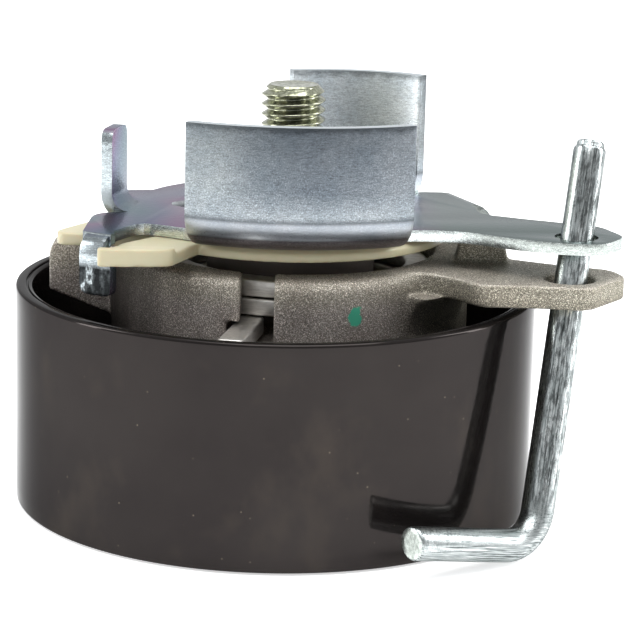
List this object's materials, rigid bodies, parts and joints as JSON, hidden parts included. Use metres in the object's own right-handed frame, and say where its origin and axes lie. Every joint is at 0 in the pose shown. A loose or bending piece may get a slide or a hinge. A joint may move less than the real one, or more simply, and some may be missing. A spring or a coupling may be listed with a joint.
{
  "type": "belt tensioner idler",
  "caption": "Eccentric sprung idler pulley for a toothed belt, with stamped locating plate, cast arm, centre bolt and removable lock pin.",
  "frame": {"origin": "on the mounting bolt's axis, at the outer face of its head, level with the pulley's outer edge", "axes": "+Z along the bolt from its head towards the engine, +X towards the drilled ears that the lock pin passes through, +Y away from the slot in the cast cup"},
  "size_m": [0.0747, 0.0693, 0.0519],
  "materials": {
    "zinc_plate": "bright zinc plating with a faint blue and violet tint",
    "turned_steel": "turned and lightly oiled",
    "nylon": "natural nylon, smooth moulded",
    "bolt_steel": "yellowish zinc plating, rolled thread",
    "cast_aluminium": "as-cast and tumbled, grainy",
    "spring_steel": "drawn flat wire, satin",
    "bush_lining": "sintered bronze",
    "bearing_steel": "ground and polished",
    "cage_nylon": "glass-filled nylon",
    "seal_rubber": "moulded nitrile",
    "phenolic": "moulded phenolic, semi-gloss black-brown",
    "zinc_wire": "zinc plated wire, streaked"
  },
  "bodies": {
    "base": {"base_plate": "zinc_plate", "pivot_shaft": "turned_steel", "friction_disc": "nylon", "retaining_washer": "turned_steel"},
    "arm": {"tension_arm": "cast_aluminium", "torsion_spring": "spring_steel", "pivot_bush_lower": "bush_lining", "pivot_bush_upper": "bush_lining", "bearing_inner_ring": "bearing_steel"},
    "pulley": {"pulley": "phenolic", "bearing_outer_ring": "bearing_steel", "bearing_seal_outer": "seal_rubber", "bearing_seal_inner": "seal_rubber"},
    "cage": {"ball_cage": "cage_nylon", "bearing_ball_1": "bearing_steel", "bearing_ball_2": "bearing_steel", "bearing_ball_3": "bearing_steel", "bearing_ball_4": "bearing_steel", "bearing_ball_5": "bearing_steel", "bearing_ball_6": "bearing_steel", "bearing_ball_7": "bearing_steel", "bearing_ball_8": "bearing_steel", "bearing_ball_9": "bearing_steel", "bearing_ball_10": "bearing_steel"},
    "bolt": {"mounting_bolt": "bolt_steel", "bolt_retainer": "nylon"},
    "pin": {"lock_pin": "zinc_wire"}
  },
  "joints": [
    {"name": "arm_swing", "type": "hinge", "parent": "base", "child": "arm", "pos_m": [0, 0, 0.02], "axis": [0, 0, 1], "range_deg": [-0.3, 0.3]},
    {"name": "pulley_spin", "type": "hinge", "parent": "arm", "child": "pulley", "pos_m": [-0.0016, -0.004, 0.007], "axis": [0, 0, 1], "continuous": true},
    {"name": "cage_spin", "type": "hinge", "parent": "arm", "child": "cage", "pos_m": [-0.0016, -0.004, 0.007], "axis": [0, 0, 1], "continuous": true},
    {"name": "bolt_spin", "type": "hinge", "parent": "base", "child": "bolt", "pos_m": [0, 0, 0.02], "axis": [0, 0, 1], "continuous": true},
    {"name": "pin_pull", "type": "slide", "parent": "base", "child": "pin", "axis": [-0.1278, -0.3359, -0.9332], "range_m": [0, 0.035]}
  ],
  "couplings": [
    {"joint": "cage_spin", "follows": "pulley_spin", "ratio": 0.57273}
  ]
}
